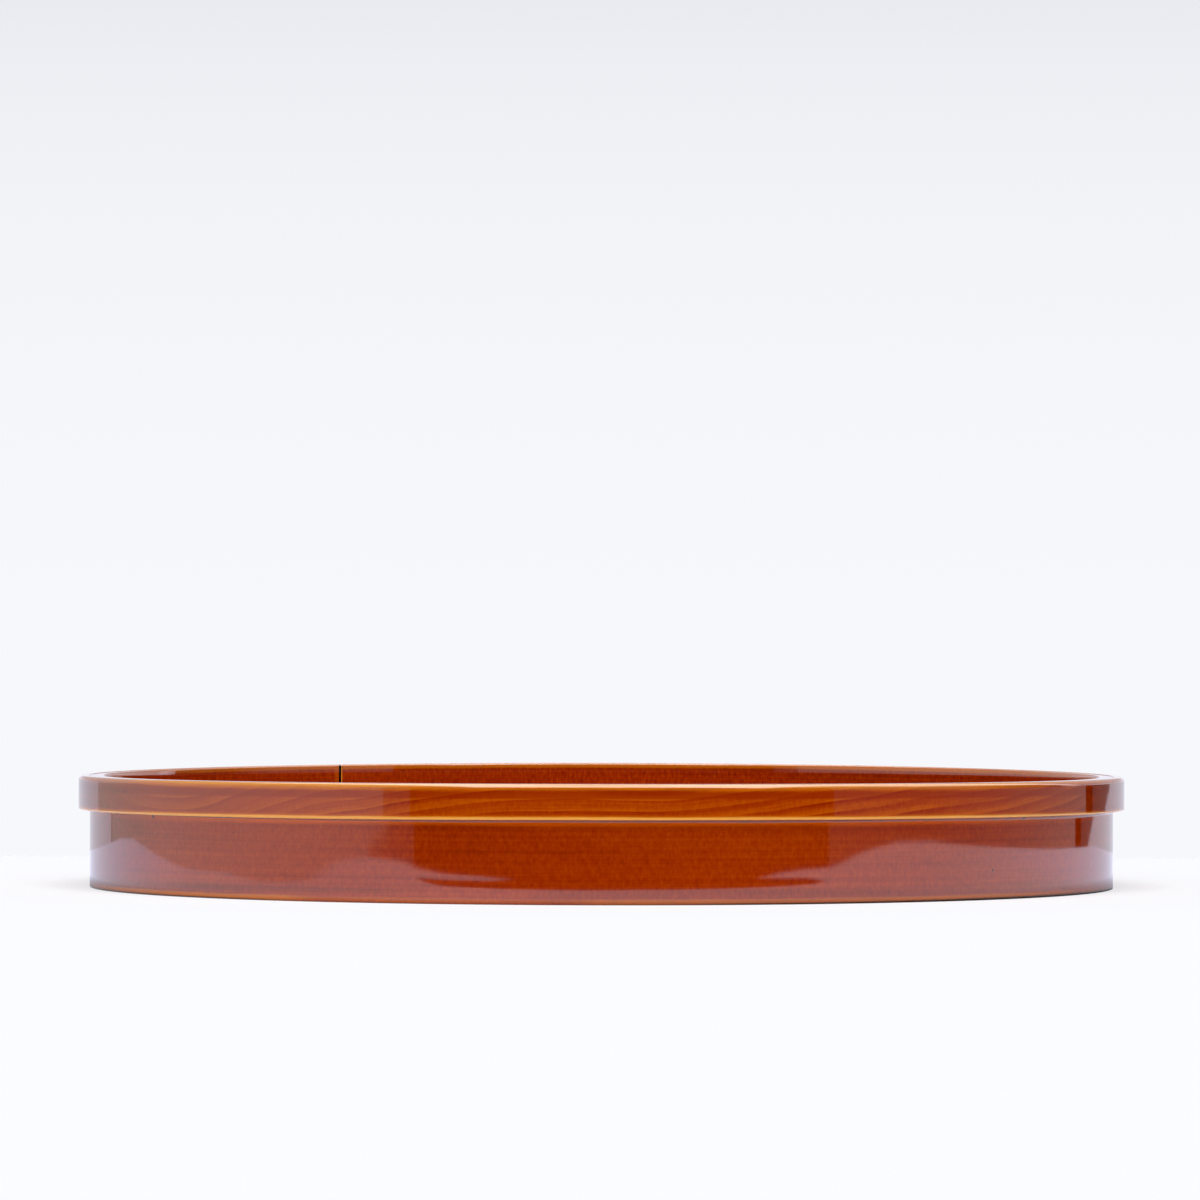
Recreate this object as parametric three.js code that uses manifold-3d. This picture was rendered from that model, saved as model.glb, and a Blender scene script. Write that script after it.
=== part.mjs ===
// A round bentwood tray. Two strips of softwood are bent into rings: a side hoop and a rim band
// round its top. Each ring is closed by a nosed lap, and the hoop's lap is laced with cherry bark.
// The bottom is a panel of edge-jointed boards. Its rabbeted edge leaves a tongue, which seats in a
// rebate at the foot of the hoop.
// Millimetres, +Z up. The origin is at the centre of the circle on which the hoop's foot stands.
import * as THREE from 'three';
import { mergeVertices, toCreasedNormals } from 'three/addons/utils/BufferGeometryUtils.js';
import Module from 'manifold-3d';

const wasm = await Module();
wasm.setup();

// Whole tray
const trayDiameter = 303;
const trayHeight = 33;

// Rim band
const bandHeight = 10;
const bandWall = 3.1;
const bandTopArris = 1.5;
const bandFootArris = 0.8;
const bandNose = 1;
const bandLapLength = 38;
const bandLapAzimuth = THREE.MathUtils.degToRad(58);

// Side hoop
const hoopWall = 4;
const hoopTopArris = 1.3;
const hoopFootArris = 0.6;
const hoopNose = 1.3;
const hoopLapLength = 45;
const hoopLapAzimuth = THREE.MathUtils.degToRad(124);
const seatDepth = 2;

// Both rings
const ringGlueLine = 0.15;
const jointArris = 0.25;
const lapGlueLine = 0.2;
const lapEndSlit = 0.54;
const ringSegments = 120;
const arrisStep = 0.6;
const lapSteps = 12;

// Bottom panel
const boardCount = 5;
const boardThickness = 4.5;
const tongueThickness = 3;
const panelRecess = 1.2;
const boardGlueLine = 0.1;
const seatClearance = 0.15;

// Pins in the edge joints
const pinsPerJoint = 3;
const pinDiameter = 2;
const pinLength = 16;
const pinTaper = 1.5;
const pinTipShare = 0.4;
const pinClearance = 0.2;
const pinEndClearance = 0.4;
const pinSides = 12;

// Bark lacing
const barkWidth = 4;
const barkThickness = 0.5;
const barkBend = 0.2;
const barkLift = 0.15;
const barkEndClearance = 0.4;
const lacingSetback = 15;
const slitCount = 4;
const slitClearance = 0.25;

// Every cutter runs this far past the face that it cuts through
const overrun = 2;

const bandOuter = trayDiameter / 2;
const bandInner = bandOuter - bandWall;
const hoopOuter = bandInner - ringGlueLine;
const hoopInner = hoopOuter - hoopWall;
const bandFoot = trayHeight - bandHeight;
const seatRadius = hoopInner + seatDepth;
const tongueRadius = seatRadius - seatClearance;
const floorRadius = hoopInner - seatClearance;
const panelTop = panelRecess + boardThickness;
const tongueTop = panelRecess + tongueThickness;
const seatHeight = tongueTop + seatClearance;

const lacqueredHoop = { color: 0x952b02, roughness: 0.18, metalness: 0 };
const lacqueredBand = { color: 0xa03803, roughness: 0.18, metalness: 0 };
const lacqueredPanel = { color: 0x8a2205, roughness: 0.2, metalness: 0 };
const bambooPin = { color: 0xc9a96a, roughness: 0.7, metalness: 0 };
const cherryBark = { color: 0x4a1a0c, roughness: 0.35, metalness: 0 };

function toSolid(geometry) {
  const bare = geometry.clone();
  bare.deleteAttribute('normal');
  bare.deleteAttribute('uv');
  const welded = mergeVertices(bare);
  return new wasm.Manifold(new wasm.Mesh({
    numProp: 3,
    vertProperties: new Float32Array(welded.attributes.position.array),
    triVerts: new Uint32Array(welded.index.array),
  }));
}

function toGeometry(solid) {
  const { vertProperties, triVerts } = solid.getMesh();
  const geometry = new THREE.BufferGeometry();
  geometry.setAttribute('position', new THREE.BufferAttribute(vertProperties, 3));
  geometry.setIndex(new THREE.BufferAttribute(triVerts, 1));
  return toCreasedNormals(geometry);
}

function piece(name, geometry, finish) {
  const mesh = new THREE.Mesh(geometry, new THREE.MeshStandardMaterial(finish));
  mesh.name = name;
  return mesh;
}

const polar = (radius, azimuth) => new THREE.Vector2(
  radius * Math.cos(azimuth),
  radius * Math.sin(azimuth),
);

// Turns an outline of square corners into one whose corners are rounded, each by its own radius.
// A corner is { at, arris }; the quarter circle runs from one edge's tangent point to the other's.
function roundCorners(corners) {
  const points = [];
  corners.forEach(({ at, arris }, i) => {
    if (arris === 0) {
      points.push(at.clone());
      return;
    }
    const before = corners.at(i - 1).at;
    const after = corners[(i + 1) % corners.length].at;
    const arrive = before.clone().sub(at).setLength(arris).add(at);
    const leave = after.clone().sub(at).setLength(arris).add(at);
    const centre = arrive.clone().add(leave).sub(at);
    const steps = Math.ceil((arris * Math.PI) / 2 / arrisStep);
    for (let step = 0; step <= steps; step += 1) {
      const turn = (step / steps) * (Math.PI / 2);
      const point = centre.clone();
      point.addScaledVector(arrive.clone().sub(centre), Math.cos(turn));
      point.addScaledVector(leave.clone().sub(centre), Math.sin(turn));
      points.push(point);
    }
  });
  return points;
}

const corner = (radius, height, arris) => ({ at: new THREE.Vector2(radius, height), arris });

// Revolves a closed cross-section of radius and height round the Z axis
function revolve(corners) {
  const profile = roundCorners(corners);
  profile.push(profile[0].clone());
  return new THREE.LatheGeometry(profile, ringSegments).rotateX(Math.PI / 2);
}

// The thin cut that parts the two leaves of a nosed lap, right through a ring. The inner leaf ends
// at the lap's azimuth, the outer leaf one lap length before it, and each has a blunt nose. Between
// the noses the leaves taper along a spiral glue line.
function lapCut({ inner, outer, nose, lapLength, azimuth, bottom, top }) {
  const lapAngle = lapLength / outer;
  const slitAngle = lapEndSlit / outer;
  const innerTip = azimuth;
  const outerTip = azimuth - lapAngle;
  const spiral = (from, to) => Array.from({ length: lapSteps + 1 }, (_, step) => polar(
    THREE.MathUtils.lerp(from.radius, to.radius, step / lapSteps),
    THREE.MathUtils.lerp(from.azimuth, to.azimuth, step / lapSteps),
  ));
  const innerLeaf = spiral(
    { radius: inner + nose, azimuth: innerTip },
    { radius: outer - nose - lapGlueLine, azimuth: outerTip - slitAngle },
  );
  const outerLeaf = spiral(
    { radius: outer - nose, azimuth: outerTip },
    { radius: inner + nose + lapGlueLine, azimuth: innerTip + slitAngle },
  );
  const outline = [
    polar(inner - overrun, innerTip),
    ...innerLeaf,
    polar(outer + overrun, outerTip - slitAngle),
    polar(outer + overrun, outerTip),
    ...outerLeaf,
    polar(inner - overrun, innerTip + slitAngle),
  ];
  const depth = top - bottom + 2 * overrun;
  const cutter = new THREE.ExtrudeGeometry(new THREE.Shape(outline), { depth, bevelEnabled: false });
  return cutter.translate(0, 0, bottom - overrun);
}

function rimBand() {
  const ring = toSolid(revolve([
    corner(bandInner, bandFoot, jointArris),
    corner(bandOuter, bandFoot, bandFootArris),
    corner(bandOuter, trayHeight, bandTopArris),
    corner(bandInner, trayHeight, jointArris),
  ]));
  const cut = toSolid(lapCut({
    inner: bandInner,
    outer: bandOuter,
    nose: bandNose,
    lapLength: bandLapLength,
    azimuth: bandLapAzimuth,
    bottom: bandFoot,
    top: trayHeight,
  }));
  return piece('rim_band', toGeometry(ring.subtract(cut)), lacqueredBand);
}

// The lacing is spread evenly over the wall that is free between the bottom panel and the rim band
const lacingAzimuth = hoopLapAzimuth - (hoopLapLength - lacingSetback) / hoopOuter;
const slitPitch = (bandFoot - panelTop) / slitCount;
const slitHeights = Array.from({ length: slitCount }, (_, i) => panelTop + (i + 0.5) * slitPitch);

function lacingSlit(height) {
  const slit = new THREE.BoxGeometry(
    hoopWall + 2 * overrun,
    barkWidth + 2 * slitClearance,
    barkThickness + 2 * slitClearance,
  );
  return slit.translate((hoopInner + hoopOuter) / 2, 0, height).rotateZ(lacingAzimuth);
}

function sideHoop() {
  let hoop = toSolid(revolve([
    corner(seatRadius, 0, 0),
    corner(hoopOuter, 0, hoopFootArris),
    corner(hoopOuter, trayHeight, jointArris),
    corner(hoopInner, trayHeight, hoopTopArris),
    corner(hoopInner, seatHeight, 0),
    corner(seatRadius, seatHeight, 0),
  ]));
  hoop = hoop.subtract(toSolid(lapCut({
    inner: hoopInner,
    outer: hoopOuter,
    nose: hoopNose,
    lapLength: hoopLapLength,
    azimuth: hoopLapAzimuth,
    bottom: 0,
    top: trayHeight,
  })));
  slitHeights.forEach((height) => {
    hoop = hoop.subtract(toSolid(lacingSlit(height)));
  });
  return piece('side_hoop', toGeometry(hoop), lacqueredHoop);
}

// The outline of a strip that follows a path of square turns, with its bends rounded
function stripOutline(path, thickness, bend) {
  const edges = { left: [], right: [] };
  path.forEach((at, i) => {
    const arrive = i > 0 ? at.clone().sub(path[i - 1]).normalize() : null;
    const leave = i < path.length - 1 ? path[i + 1].clone().sub(at).normalize() : null;
    const turn = arrive && leave ? Math.sign(arrive.cross(leave)) : 0;
    const side = new THREE.Vector2();
    [arrive, leave].filter(Boolean).forEach((way) => side.add(new THREE.Vector2(-way.y, way.x)));
    const insideBend = turn === 0 ? 0 : bend;
    const outsideBend = turn === 0 ? 0 : bend + thickness;
    edges.left.push({
      at: at.clone().addScaledVector(side, thickness / 2),
      arris: turn > 0 ? insideBend : outsideBend,
    });
    edges.right.unshift({
      at: at.clone().addScaledVector(side, -thickness / 2),
      arris: turn > 0 ? outsideBend : insideBend,
    });
  });
  return roundCorners([...edges.left, ...edges.right]);
}

// The bark runs in and out through the slits, from a tail inside at the foot to one at the top
function barkLacing() {
  const tail = slitPitch / 2 - barkEndClearance;
  const insideRadius = hoopInner - barkLift - barkThickness / 2;
  const outsideRadius = hoopOuter + barkLift + barkThickness / 2;
  const path = [new THREE.Vector2(insideRadius, slitHeights[0] - tail)];
  slitHeights.forEach((height, i) => {
    const goesOut = i % 2 === 0;
    path.push(new THREE.Vector2(goesOut ? insideRadius : outsideRadius, height));
    path.push(new THREE.Vector2(goesOut ? outsideRadius : insideRadius, height));
  });
  const lastRadius = path.at(-1).x;
  path.push(new THREE.Vector2(lastRadius, slitHeights.at(-1) + tail));
  const outline = new THREE.Shape(stripOutline(path, barkThickness, barkBend));
  const strip = new THREE.ExtrudeGeometry(outline, { depth: barkWidth, bevelEnabled: false });
  strip.translate(0, 0, -barkWidth / 2).rotateX(Math.PI / 2).rotateZ(lacingAzimuth);
  return piece('bark_lacing', strip, cherryBark);
}

const boardPitch = (2 * tongueRadius) / boardCount;
const pinHeight = panelRecess + boardThickness / 2;
const jointPlaces = Array.from({ length: boardCount - 1 }, (_, i) => (i + 1) * boardPitch - tongueRadius);

// A joint's pins are spread evenly along its chord of the round panel
function pinPlaces(jointY) {
  const halfJoint = Math.sqrt(tongueRadius ** 2 - jointY ** 2);
  return Array.from({ length: pinsPerJoint }, (_, i) => new THREE.Vector3(
    THREE.MathUtils.lerp(-halfJoint, halfJoint, (i + 0.5) / pinsPerJoint),
    jointY,
    pinHeight,
  ));
}

const pinSeats = jointPlaces.map(pinPlaces);

function pinHole(place) {
  const length = pinLength + 2 * pinEndClearance;
  const radius = pinDiameter / 2 + pinClearance;
  const hole = new THREE.CylinderGeometry(radius, radius, length, pinSides);
  return hole.translate(place.x, place.y, place.z);
}

function disc(radius, bottom, top) {
  const cylinder = new THREE.CylinderGeometry(radius, radius, top - bottom, ringSegments);
  return toSolid(cylinder.rotateX(Math.PI / 2).translate(0, 0, (bottom + top) / 2));
}

const tongueMiddle = panelRecess + tongueThickness / 2;
const panel = disc(tongueRadius, panelRecess, tongueTop).add(disc(floorRadius, tongueMiddle, panelTop));

function baseBoard(index) {
  const isFirst = index === 0;
  const isLast = index === boardCount - 1;
  const low = isFirst ? -tongueRadius - overrun : jointPlaces[index - 1] + boardGlueLine / 2;
  const high = isLast ? tongueRadius + overrun : jointPlaces[index] - boardGlueLine / 2;
  const strip = new THREE.BoxGeometry(
    2 * (tongueRadius + overrun),
    high - low,
    boardThickness + 2 * overrun,
  );
  strip.translate(0, (low + high) / 2, pinHeight);
  let board = panel.intersect(toSolid(strip));
  const ownSeats = [pinSeats[index - 1], pinSeats[index]].filter(Boolean).flat();
  ownSeats.forEach((place) => {
    board = board.subtract(toSolid(pinHole(place)));
  });
  return piece(`base_board_${index + 1}`, toGeometry(board), lacqueredPanel);
}

// A pin is pointed at both ends, so that it finds its hole as the joint is closed
function jointPin(place, index) {
  const radius = pinDiameter / 2;
  const half = pinLength / 2;
  const profile = [
    new THREE.Vector2(0, -half),
    new THREE.Vector2(radius * pinTipShare, -half),
    new THREE.Vector2(radius, pinTaper - half),
    new THREE.Vector2(radius, half - pinTaper),
    new THREE.Vector2(radius * pinTipShare, half),
    new THREE.Vector2(0, half),
  ];
  const pin = piece(`joint_pin_${index + 1}`, new THREE.LatheGeometry(profile, pinSides), bambooPin);
  pin.position.copy(place);
  return pin;
}

const tray = new THREE.Group();
tray.add(sideHoop(), rimBand(), barkLacing());
for (let index = 0; index < boardCount; index += 1) {
  tray.add(baseBoard(index));
}
tray.add(...pinSeats.flat().map(jointPin));

export default tray;
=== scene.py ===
import math

import bmesh
import bpy
import numpy as np
from mathutils import Matrix, Vector


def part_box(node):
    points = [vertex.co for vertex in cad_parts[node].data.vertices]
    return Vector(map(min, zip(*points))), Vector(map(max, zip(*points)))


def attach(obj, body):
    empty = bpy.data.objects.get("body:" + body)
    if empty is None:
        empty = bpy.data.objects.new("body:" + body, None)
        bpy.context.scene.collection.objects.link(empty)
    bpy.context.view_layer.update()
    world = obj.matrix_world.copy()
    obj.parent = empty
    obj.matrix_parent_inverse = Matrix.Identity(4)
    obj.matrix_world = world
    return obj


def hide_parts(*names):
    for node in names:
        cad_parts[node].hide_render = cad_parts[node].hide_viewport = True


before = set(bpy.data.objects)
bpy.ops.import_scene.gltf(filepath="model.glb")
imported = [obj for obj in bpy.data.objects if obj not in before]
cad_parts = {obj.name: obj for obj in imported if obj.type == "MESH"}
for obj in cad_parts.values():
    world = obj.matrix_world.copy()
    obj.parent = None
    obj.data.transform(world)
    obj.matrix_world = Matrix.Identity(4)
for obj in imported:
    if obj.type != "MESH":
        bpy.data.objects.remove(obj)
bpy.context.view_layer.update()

MM = 0.001
SHARP_ANGLE = math.radians(32)

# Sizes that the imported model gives
hoop_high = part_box("side_hoop")[1]
band_low, band_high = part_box("rim_band")
bark_low, bark_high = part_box("bark_lacing")
board_low, board_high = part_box("base_board_1")
middle_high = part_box("base_board_3")[1]
TRAY_TOP = hoop_high.z
BAND_OUTER = band_high.x
BAND_FOOT = band_low.z
HOOP_OUTER = hoop_high.x
HOOP_TOP = TRAY_TOP - 0.08 * MM
PANEL_FOOT = board_low.z
PANEL_TOP = board_high.z
TONGUE_RADIUS = middle_high.x

# Sizes of the rings. A seam is where a strip's inner leaf ends. Azimuths on the tray are in degrees,
# from its right over its back.
FRONT = 270
BAND_WALL = 3.1 * MM
BAND_INNER = BAND_OUTER - BAND_WALL
BAND_SEAM = 58
BAND_LAP = 38 * MM
BAND_NOSE = 1 * MM
HOOP_WALL = 4 * MM
HOOP_INNER = HOOP_OUTER - HOOP_WALL
HOOP_SEAM = 123.45
HOOP_LAP = 45 * MM
HOOP_NOSE = 1.3 * MM
SEAT_RADIUS = HOOP_INNER + 2 * MM
SEAT_HEIGHT = 4.35 * MM
FLOOR_RADIUS = HOOP_INNER - 0.15 * MM
BOARD_COUNT = 5
RING_STEP = math.radians(0.5)

# How bent wood has moved: the rings' sides have settled by a share of their height, and the band's
# foot has pulled up
SETTLING = 0.0225
BAND_LIFT = 0.18 * MM
LIFT_START = -75 * MM
LIFT_LENGTH = 60 * MM

# Where the bead of lacquer under the band runs
BEAD_START = 211.95
BEAD_STOP = 405


# Closed meshes

def new_object(name, data):
    made = bpy.data.objects.new(name, data)
    bpy.context.scene.collection.objects.link(made)
    return made


def solid(name, points, faces):
    """A closed mesh without doubled points, its faces pointing out, smooth but for sharp edges."""
    mesh = bpy.data.meshes.new(name)
    mesh.from_pydata([tuple(p) for p in points], [], faces)
    shape = bmesh.new()
    shape.from_mesh(mesh)
    bmesh.ops.remove_doubles(shape, verts=shape.verts, dist=1e-7)
    bmesh.ops.dissolve_degenerate(shape, edges=shape.edges, dist=1e-8)
    bmesh.ops.recalc_face_normals(shape, faces=shape.faces)
    shape.to_mesh(mesh)
    shape.free()
    smooth(mesh)
    return new_object(name, mesh)


def smooth(mesh):
    mesh.polygons.foreach_set("use_smooth", [True] * len(mesh.polygons))
    mesh.set_sharp_from_angle(angle=SHARP_ANGLE)
    mesh.update()


def sweep(sections, closed):
    """The points and faces of a skin over equally long sections, with flat ends if it is open."""
    count = len(sections[0])
    points = [p for section in sections for p in section]
    faces = []
    for i in range(len(sections) if closed else len(sections) - 1):
        here = i * count
        there = (i + 1) % len(sections) * count
        for k in range(count):
            after = (k + 1) % count
            faces.append((here + k, here + after, there + after, there + k))
    if not closed:
        faces.append(tuple(range(count)))
        faces.append(tuple(range(len(points) - count, len(points))))
    return points, faces


def mark_strip(made, place):
    """Gives each point its place in the straight strip: along, up and through."""
    layer = made.data.attributes.new("strip", "FLOAT_VECTOR", "POINT")
    values = [part for vertex in made.data.vertices for part in place(vertex.co)]
    layer.data.foreach_set("vector", values)


def around(turn, outline):
    """An outline of (radius, height) points, stood up at an angle round the tray."""
    return [Vector((r * math.cos(turn), r * math.sin(turn), z)) for r, z in outline]


def arc(centre, radius, start, stop, steps):
    """Points (radius, height) on a circle, from one angle in degrees to another."""
    angles = np.radians(np.linspace(start, stop, steps + 1))
    return [(centre[0] + radius * math.cos(a), centre[1] + radius * math.sin(a)) for a in angles]


def settle(made):
    """The rings stand a little lower at their left and right than at the front."""
    for vertex in made.data.vertices:
        vertex.co.z *= 1 - SETTLING * (vertex.co.x / BAND_OUTER) ** 2
    made.data.update()


def band_lift(x):
    """How far the band's foot has pulled up, which it has done towards the right."""
    return BAND_LIFT * min(1, max(0, (x - LIFT_START) / LIFT_LENGTH))


def lift_foot(band):
    reach = 3 * MM
    for vertex in band.data.vertices:
        share = 1 - (vertex.co.z - BAND_FOOT) / reach
        vertex.co.z += band_lift(vertex.co.x) * max(0, share)
    band.data.update()


# The two bent rings

class Ring:
    """A bent strip closed by a nosed lap. Between the top and foot curves of its section, which are
    (radius, height) points, run its outer and inner faces."""

    def __init__(self, inner, outer, nose, lap_length, lap_azimuth, top, foot):
        self.inner, self.outer, self.nose = inner, outer, nose
        self.glue = 0.2 * MM
        self.slit = 0.54 * MM / outer
        self.tip_arris = 0.35 * MM
        self.inner_tip = math.radians(lap_azimuth)
        self.outer_tip = self.inner_tip - lap_length / outer
        self.top, self.foot = top, foot

    def leaf(self, turn):
        """The radii between which the strip lies, at an angle that runs on from its outer tip."""
        inner_end = self.inner_tip + self.slit
        outer_end = self.outer_tip - self.slit + 2 * math.pi
        low, high = self.inner, self.outer
        if turn < inner_end:
            share = (turn - self.outer_tip) / (inner_end - self.outer_tip)
            start = self.outer - self.nose
            low = start + share * (self.inner + self.nose + self.glue - start)
            high -= self.rounding((turn - self.outer_tip) * self.outer)
        if turn > outer_end:
            share = (turn - outer_end) / (self.inner_tip + 2 * math.pi - outer_end)
            start = self.outer - self.nose - self.glue
            high = start + share * (self.inner + self.nose - start)
            low += self.rounding((self.inner_tip + 2 * math.pi - turn) * self.outer)
        return low, high

    def rounding(self, gap):
        """How much the strip's worn end has lost, at a distance from its tip."""
        rest = max(0, self.tip_arris - gap)
        return self.tip_arris - math.sqrt(self.tip_arris ** 2 - rest ** 2)

    def turns(self):
        """The angles of the sections. Two meet at each step of the lap."""
        hair = 1e-7
        first, last = self.outer_tip, self.inner_tip + 2 * math.pi
        stops = [first, self.inner_tip + self.slit, self.outer_tip - self.slit + 2 * math.pi, last]
        steps = np.arange(math.ceil(first / RING_STEP), math.floor(last / RING_STEP) + 1) * RING_STEP
        inside = [t for t in steps if min(abs(t - s) for s in stops) > 0.2 * RING_STEP]
        both = [stops[1] - hair, stops[1] + hair, stops[2] - hair, stops[2] + hair]
        worn = [share * self.tip_arris / self.outer for share in (0.04, 0.12, 0.25, 0.45, 0.7, 1)]
        worn = [first + step for step in worn] + [last - step for step in worn]
        return sorted(inside + [first, last] + both + worn)

    def section(self, turn):
        low, high = self.leaf(turn)

        def clamped(curve):
            radii, heights = np.array(curve).T
            order = np.argsort(radii, kind="stable")
            kept = np.clip(radii, low, high)
            found = np.interp(kept, radii[order], heights[order])
            inside = (radii >= low) & (radii <= high)
            return list(zip(kept, np.where(inside, heights, found)))

        top = clamped(self.top)
        foot = clamped(self.foot)
        shares = (0.02, 0.1, 0.25, 0.4, 0.55, 0.7, 0.85, 0.98)
        outer_face = [(high, foot[-1][1] + s * (top[0][1] - foot[-1][1])) for s in shares]
        inner_face = [(low, top[-1][1] + s * (foot[0][1] - top[-1][1])) for s in shares]
        return around(turn, outer_face + top + inner_face + foot)

    def along(self, point):
        """How far along the strip a point lies, from the outer leaf's tip."""
        radius = math.hypot(point[0], point[1])
        turn = (math.atan2(point[1], point[0]) - self.outer_tip + self.slit / 2) % (2 * math.pi)
        turn += self.outer_tip - self.slit / 2
        in_lap = turn < self.inner_tip + self.slit / 2
        if in_lap and radius < self.leaf(max(turn, self.outer_tip))[0] - self.glue / 2:
            turn += 2 * math.pi
        return (turn - self.outer_tip) * self.outer

    def place(self, azimuth, radius):
        """The same, for a point at an azimuth in degrees."""
        turn = math.radians(azimuth)
        return self.along((radius * math.cos(turn), radius * math.sin(turn)))

    def build(self, name):
        points, faces = sweep([self.section(t) for t in self.turns()], closed=False)
        return solid(name, points, faces)

    def mark(self, made):
        mark_strip(made, lambda point: (self.along(point), point.z, math.hypot(point.x, point.y)))


def band_ring():
    top_arris, foot_arris, joint = 1.35 * MM, 0.42 * MM, 0.25 * MM
    top = arc((BAND_OUTER - top_arris, TRAY_TOP - top_arris), top_arris, 0, 90, 10)
    top += arc((BAND_INNER + joint, TRAY_TOP - joint), joint, 90, 180, 3)
    foot = arc((BAND_INNER + joint, BAND_FOOT + joint), joint, 180, 270, 3)
    foot += arc((BAND_OUTER - foot_arris, BAND_FOOT + foot_arris), foot_arris, 270, 360, 8)
    return Ring(BAND_INNER, BAND_OUTER, BAND_NOSE, BAND_LAP, BAND_SEAM, top, foot)


def hoop_inner_edge():
    """The hoop's inner top edge: a small round, then a long worn slope that dies out down the wall."""
    edge_radius, slope_start, slope_depth = 0.48 * MM, 5.5, 3.35 * MM
    round_depth = edge_radius * (1 - math.sin(math.radians(slope_start)))
    reach = slope_depth - round_depth
    inset = math.tan(math.radians(slope_start)) * reach / 3
    centre = HOOP_INNER + inset + edge_radius * math.cos(math.radians(slope_start))
    curve = arc((centre, HOOP_TOP - edge_radius), edge_radius, 90, 180 - slope_start, 6)
    for share in (0.1, 0.2, 0.3, 0.4, 0.5, 0.62, 0.8, 1.0):
        depth = round_depth + share * reach
        curve.append((HOOP_INNER + inset * (1 - share) ** 3, HOOP_TOP - depth))
    return curve


def hoop_ring():
    foot_arris, joint, hair = 0.4 * MM, 0.25 * MM, 0.001 * MM
    top = arc((HOOP_OUTER - joint, HOOP_TOP - joint), joint, 0, 90, 3)
    top += hoop_inner_edge()
    foot = [(HOOP_INNER, SEAT_HEIGHT), (SEAT_RADIUS, SEAT_HEIGHT), (SEAT_RADIUS + hair, 0)]
    foot += arc((HOOP_OUTER - foot_arris, foot_arris), foot_arris, 270, 360, 6)
    return Ring(HOOP_INNER, HOOP_OUTER, HOOP_NOSE, HOOP_LAP, HOOP_SEAM, top, foot)


# Bark lacing

BARK_WIDTH = 4 * MM
BARK_THICKNESS = 0.5 * MM
BARK_GAP = 0.15 * MM
BARK_BEND = 0.2 * MM
BEND_STEPS = 6
LACING_AZIMUTH = math.atan2(bark_low.y + bark_high.y, bark_low.x + bark_high.x)
SLIT_COUNT = 4
SLIT_PITCH = (BAND_FOOT - PANEL_TOP) / SLIT_COUNT
SLIT_HEIGHTS = [PANEL_TOP + (i + 0.5) * SLIT_PITCH for i in range(SLIT_COUNT)]


def cut_slits(hoop):
    """Cuts the slits that the bark runs through."""
    clearance = 0.12 * MM
    middle = (HOOP_INNER + HOOP_OUTER) / 2
    size = (2 * HOOP_WALL, BARK_WIDTH + 2 * clearance, BARK_THICKNESS + 2 * clearance)
    turn = Matrix.Rotation(LACING_AZIMUTH, 4, "Z")
    cutters = []
    for height in SLIT_HEIGHTS:
        bpy.ops.mesh.primitive_cube_add(size=1)
        box = bpy.context.object
        box.data.transform(turn @ Matrix.Translation((middle, 0, height)) @ Matrix.Diagonal((*size, 1)))
        cutters.append(box)
        cut = hoop.modifiers.new("slit", "BOOLEAN")
        cut.operation = "DIFFERENCE"
        cut.solver = "EXACT"
        cut.object = box
    bpy.context.view_layer.update()
    seen = hoop.evaluated_get(bpy.context.evaluated_depsgraph_get())
    mesh = bpy.data.meshes.new_from_object(seen)
    hoop.modifiers.clear()
    old = hoop.data
    hoop.data = mesh
    bpy.data.meshes.remove(old)
    for box in cutters:
        bpy.data.objects.remove(box)
    smooth(mesh)


def bark_path():
    """The bark's middle line as (radius, height) points, from its lower tail to its upper one."""
    inside = HOOP_INNER - BARK_GAP - BARK_THICKNESS / 2
    outside = HOOP_OUTER + BARK_GAP + BARK_THICKNESS / 2
    tail = SLIT_PITCH / 2 - 0.4 * MM
    corners = [(inside, SLIT_HEIGHTS[0] - tail)]
    for i, height in enumerate(SLIT_HEIGHTS):
        sides = (inside, outside) if i % 2 == 0 else (outside, inside)
        corners += [(sides[0], height), (sides[1], height)]
    corners.append((corners[-1][0], SLIT_HEIGHTS[-1] + tail))
    bend = BARK_BEND + BARK_THICKNESS / 2
    path = [Vector(corners[0])]
    for before, at, after in zip(corners, corners[1:], corners[2:]):
        arrive = (Vector(before) - Vector(at)).normalized() * bend
        leave = (Vector(after) - Vector(at)).normalized() * bend
        centre = Vector(at) + arrive + leave
        for step in range(BEND_STEPS + 1):
            turn = step / BEND_STEPS * math.pi / 2
            path.append(centre - leave * math.cos(turn) - arrive * math.sin(turn))
    path.append(Vector(corners[-1]))
    return path


def bark_lacing():
    path = bark_path()
    half, thick = BARK_WIDTH / 2, BARK_THICKNESS / 2
    # Across the strip: shares of its half width and half thickness, thinner at the edges
    outline = [(1, 0.35), (0.985, 0.62), (0.94, 0.8), (0.8, 0.92), (0.4, 1), (0, 1)]
    outline += [(-x, y) for x, y in outline[-2::-1]]
    outline += [(x, -y) for x, y in reversed(outline)]
    sections, lengths, walked = [], [], 0
    for i, at in enumerate(path):
        before = path[max(i - 1, 0)]
        after = path[min(i + 1, len(path) - 1)]
        way = (after - before).normalized()
        normal = Vector((-way.y, way.x))
        walked += (at - before).length
        lengths.append(walked)
        spots = [(x * half, at + normal * y * thick) for x, y in outline]
        sections.append([Vector((spot.x, across, spot.y)) for across, spot in spots])
    points, faces = sweep(sections, closed=False)
    turn = Matrix.Rotation(LACING_AZIMUTH, 4, "Z")
    made = solid("cherry_bark_lacing", [turn @ p for p in points], faces)
    line = np.array([(p.x, p.y) for p in path])
    back = turn.inverted()

    def place(point):
        local = back @ point
        nearest = np.argmin(np.hypot(line[:, 0] - local.x, line[:, 1] - local.z))
        return lengths[nearest], local.y, 0

    mark_strip(made, place)
    return made


# Lacquer that has gathered in the corners

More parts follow.
